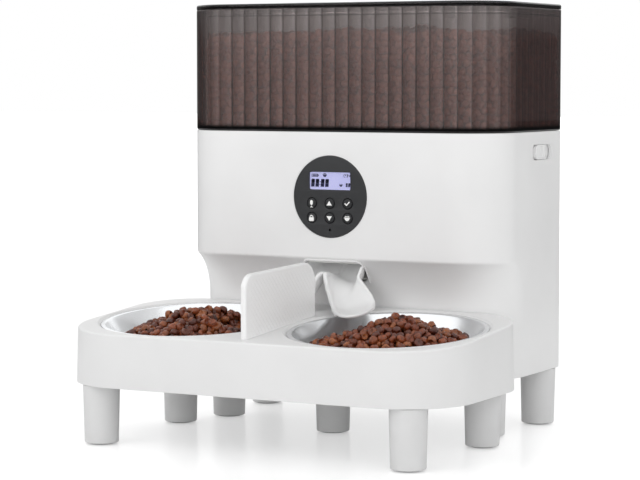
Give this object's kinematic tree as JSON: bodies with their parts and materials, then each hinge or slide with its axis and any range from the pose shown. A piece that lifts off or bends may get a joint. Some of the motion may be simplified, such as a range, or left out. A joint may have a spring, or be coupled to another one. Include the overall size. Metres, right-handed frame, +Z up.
{
  "type": "automatic pet feeder",
  "caption": "Dry-food pet feeder: a smoked fluted hopper on a white housing with a control panel, a splitter chute and a tray with steel bowls and a divider, on short legs.",
  "frame": {"origin": "middle of the footprint on the floor, under the pads", "axes": "+X to the right seen from the front, +Y to the rear, +Z up"},
  "size_m": [0.3454, 0.2986, 0.353],
  "materials": {
    "white_abs": "satin moulded ABS",
    "inner_white": "moulded ABS, hidden inside",
    "smoked_tank": "clear smoked, fluted inside",
    "smoked_lid": "dark smoked",
    "silicone": "soft",
    "panel_black": "satin",
    "button_rubber": "satin",
    "window_clear": "clear",
    "display_face": "pale lavender display",
    "board_green": "lacquered board",
    "foot_rubber": "grey",
    "gear_resin": "acetal",
    "cell_jacket": "plain jacket",
    "steel": "polished",
    "motor_steel": "plain",
    "socket_black": "plain"
  },
  "bodies": {
    "feeder": {"housing": "white_abs", "base_plate": "white_abs", "chassis_deck": "inner_white", "portion_drum": "inner_white", "outlet_duct": "inner_white", "splitter_chute": "white_abs", "tray_shell": "white_abs", "tray_base": "white_abs", "leg_1": "white_abs", "leg_2": "white_abs", "leg_3": "white_abs", "leg_4": "white_abs", "leg_5": "white_abs", "leg_6": "white_abs", "leg_7": "white_abs", "leg_8": "white_abs", "leg_9": "white_abs", "foot_pad_1": "foot_rubber", "foot_pad_2": "foot_rubber", "foot_pad_3": "foot_rubber", "foot_pad_4": "foot_rubber", "foot_pad_5": "foot_rubber", "foot_pad_6": "foot_rubber", "foot_pad_7": "foot_rubber", "foot_pad_8": "foot_rubber", "foot_pad_9": "foot_rubber", "control_bezel": "panel_black", "lcd_window": "window_clear", "display_module": "display_face", "circuit_board": "board_green", "microphone": "motor_steel", "speaker": "socket_black", "gear_motor": "motor_steel", "battery_box": "inner_white", "battery_cell_1": "cell_jacket", "battery_cell_2": "cell_jacket", "battery_cell_3": "cell_jacket", "power_socket": "socket_black"},
    "tank": {"tank": "smoked_tank"},
    "lid": {"lid": "smoked_lid", "lid_gasket": "silicone", "desiccant_box": "smoked_lid"},
    "bowl_left": {"bowl_left": "steel"},
    "bowl_right": {"bowl_right": "steel"},
    "divider": {"divider": "white_abs"},
    "rotor": {"rotor": "inner_white", "rotor_gear": "gear_resin"},
    "pinion": {"motor_pinion": "gear_resin"},
    "button_1": {"button_1": "button_rubber"},
    "button_2": {"button_2": "button_rubber"},
    "button_3": {"button_3": "button_rubber"},
    "button_4": {"button_4": "button_rubber"},
    "button_5": {"button_5": "button_rubber"},
    "button_6": {"button_6": "button_rubber"},
    "latch_left": {"latch_left": "white_abs"},
    "latch_right": {"latch_right": "white_abs"},
    "battery_door": {"battery_door": "white_abs"}
  },
  "joints": [
    {"name": "tank_lift", "type": "slide", "parent": "feeder", "child": "tank", "axis": [0, 0, 1], "range_m": [0, 0.1]},
    {"name": "lid_lift", "type": "slide", "parent": "tank", "child": "lid", "axis": [0, 0, 1], "range_m": [0, 0.08]},
    {"name": "bowl_left_tilt", "type": "hinge", "parent": "feeder", "child": "bowl_left", "pos_m": [-0.02548, -0.01094, 0.09923], "axis": [-0.6402, 0.766, 0.0589], "range_deg": [0, 25]},
    {"name": "bowl_right_tilt", "type": "hinge", "parent": "feeder", "child": "bowl_right", "pos_m": [0.02548, -0.01094, 0.09923], "axis": [-0.6402, -0.766, -0.0589], "range_deg": [0, 25]},
    {"name": "divider_lift", "type": "slide", "parent": "feeder", "child": "divider", "axis": [0, 0, 1], "range_m": [0, 0.05]},
    {"name": "rotor_spin", "type": "hinge", "parent": "feeder", "child": "rotor", "pos_m": [0, 0.08125, 0.165], "axis": [0, 0, 1], "continuous": true},
    {"name": "pinion_spin", "type": "hinge", "parent": "feeder", "child": "pinion", "pos_m": [0, 0.11125, 0.153], "axis": [0, 0, 1], "continuous": true},
    {"name": "button_1_press", "type": "slide", "parent": "feeder", "child": "button_1", "axis": [0, 1, 0], "range_m": [0, 0.0008], "stiffness_N_per_m": 400},
    {"name": "button_2_press", "type": "slide", "parent": "feeder", "child": "button_2", "axis": [0, 1, 0], "range_m": [0, 0.0008], "stiffness_N_per_m": 400},
    {"name": "button_3_press", "type": "slide", "parent": "feeder", "child": "button_3", "axis": [0, 1, 0], "range_m": [0, 0.0008], "stiffness_N_per_m": 400},
    {"name": "button_4_press", "type": "slide", "parent": "feeder", "child": "button_4", "axis": [0, 1, 0], "range_m": [0, 0.0008], "stiffness_N_per_m": 400},
    {"name": "button_5_press", "type": "slide", "parent": "feeder", "child": "button_5", "axis": [0, 1, 0], "range_m": [0, 0.0008], "stiffness_N_per_m": 400},
    {"name": "button_6_press", "type": "slide", "parent": "feeder", "child": "button_6", "axis": [0, 1, 0], "range_m": [0, 0.0008], "stiffness_N_per_m": 400},
    {"name": "latch_left_slide", "type": "slide", "parent": "feeder", "child": "latch_left", "axis": [0, 1, 0], "range_m": [-0.006, 0.006]},
    {"name": "latch_right_slide", "type": "slide", "parent": "feeder", "child": "latch_right", "axis": [0, 1, 0], "range_m": [-0.006, 0.006]},
    {"name": "battery_door_drop", "type": "slide", "parent": "feeder", "child": "battery_door", "axis": [0, 0, -1], "range_m": [0, 0.035]}
  ],
  "couplings": [
    {"joint": "pinion_spin", "follows": "rotor_spin", "ratio": -3}
  ]
}
